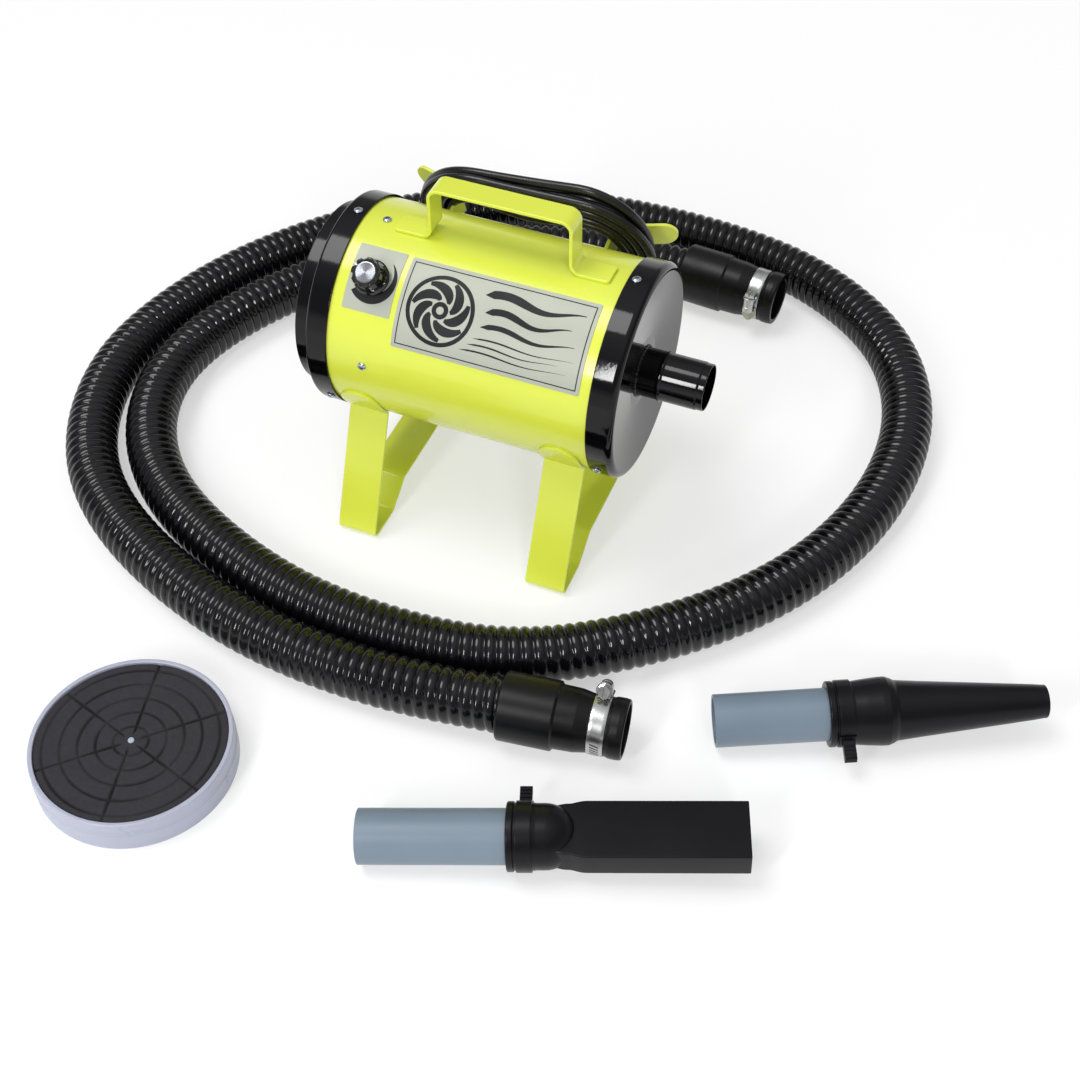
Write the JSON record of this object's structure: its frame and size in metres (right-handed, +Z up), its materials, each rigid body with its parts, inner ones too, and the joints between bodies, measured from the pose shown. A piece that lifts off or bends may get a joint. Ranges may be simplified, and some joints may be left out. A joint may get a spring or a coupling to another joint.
{
  "type": "pet dryer",
  "caption": "Force dryer for pets: round steel blower on strap stands with a handle, speed knob, cord cleat, long hose, filter cap and hand nozzles.",
  "frame": {"origin": "floor point under the middle of the bare housing", "axes": "+X along the housing towards the outlet, +Y towards the back where the cord hangs, +Z up"},
  "size_m": [0.9319, 0.8844, 0.314],
  "materials": {
    "yellow_paint": "glossy",
    "black_gloss": "glossy",
    "zinc_screws": "bright zinc",
    "label_metal": "satin",
    "disc_metal": "spun",
    "shaft_steel": "satin",
    "control_case": "matte",
    "block_plastic": "matte",
    "motor_alloy": "cast",
    "gasket_rubber": "matte",
    "core_steel": "laminated",
    "winding_copper": "varnished",
    "holder_brass": "satin",
    "brush_carbon": "matte",
    "acoustic_foam": "open cell",
    "filter_foam": "open cell",
    "hose_plastic": "glossy",
    "cuff_rubber": "satin",
    "clamp_steel": "bright",
    "filter_plastic": "translucent white",
    "pin_plastic": "matte",
    "tube_plastic": "satin",
    "cord_rubber": "satin",
    "plug_brass": "bright"
  },
  "bodies": {
    "dryer": {"housing_tube": "yellow_paint", "front_cap": "black_gloss", "outlet_tube": "black_gloss", "rear_cap": "black_gloss", "intake_grille": "black_gloss", "cap_screws": "zinc_screws", "body_screws": "zinc_screws", "handle": "yellow_paint", "front_stand": "yellow_paint", "rear_stand": "yellow_paint", "cord_cleat": "yellow_paint", "control_plate": "label_metal", "name_plate": "label_metal", "control_nut": "shaft_steel", "speed_control": "control_case", "terminal_block": "block_plastic", "heat_sink": "motor_alloy", "bulkhead": "motor_alloy", "motor_gasket": "gasket_rubber", "fan_casing": "motor_alloy", "fixed_vanes": "motor_alloy", "motor_frame": "motor_alloy", "field_core": "core_steel", "field_coils": "winding_copper", "bearings": "shaft_steel", "brush_holders": "holder_brass", "carbon_brushes": "brush_carbon", "motor_spider": "gasket_rubber", "acoustic_foam": "acoustic_foam", "hose": "hose_plastic", "tool_cuff": "cuff_rubber", "machine_cuff": "cuff_rubber", "tool_clamp": "clamp_steel", "machine_clamp": "clamp_steel", "filter_cap": "filter_plastic", "filter_foam": "filter_foam", "filter_pin": "pin_plastic", "cone_tube": "tube_plastic", "cone_nozzle": "cuff_rubber", "cone_strap": "cuff_rubber", "flat_tube": "tube_plastic", "flat_nozzle": "cuff_rubber", "flat_strap": "cuff_rubber", "strain_relief": "cord_rubber", "cord_lead": "cord_rubber", "cord_hank": "cord_rubber", "cord_tail": "cord_rubber", "plug_body": "cord_rubber", "plug_blades": "plug_brass"},
    "knob": {"speed_knob": "black_gloss", "knob_disc": "disc_metal", "control_shaft": "shaft_steel"},
    "rotor": {"armature_shaft": "shaft_steel", "armature_core": "core_steel", "commutator": "winding_copper", "impeller_first": "motor_alloy", "impeller_second": "motor_alloy", "fan_nut": "holder_brass"},
    "tool_screw": {"tool_clamp_screw": "clamp_steel"},
    "machine_screw": {"machine_clamp_screw": "clamp_steel"}
  },
  "joints": [
    {"name": "speed_knob_turn", "type": "hinge", "parent": "dryer", "child": "knob", "pos_m": [-0.083, -0.05356, 0.24708], "axis": [0, 0.6018, -0.7986], "range_deg": [0, 270]},
    {"name": "motor_spin", "type": "hinge", "parent": "dryer", "child": "rotor", "pos_m": [0, 0, 0.176], "axis": [1, 0, 0], "continuous": true},
    {"name": "tool_clamp_screw_turn", "type": "hinge", "parent": "dryer", "child": "tool_screw", "pos_m": [0.18711, -0.2288, 0.05373], "axis": [0.1127, -0.8114, 0.5736], "continuous": true},
    {"name": "machine_clamp_screw_turn", "type": "hinge", "parent": "dryer", "child": "machine_screw", "pos_m": [0.14916, 0.27985, 0.03748], "axis": [0.0215, 0.2579, 0.9659], "continuous": true}
  ]
}
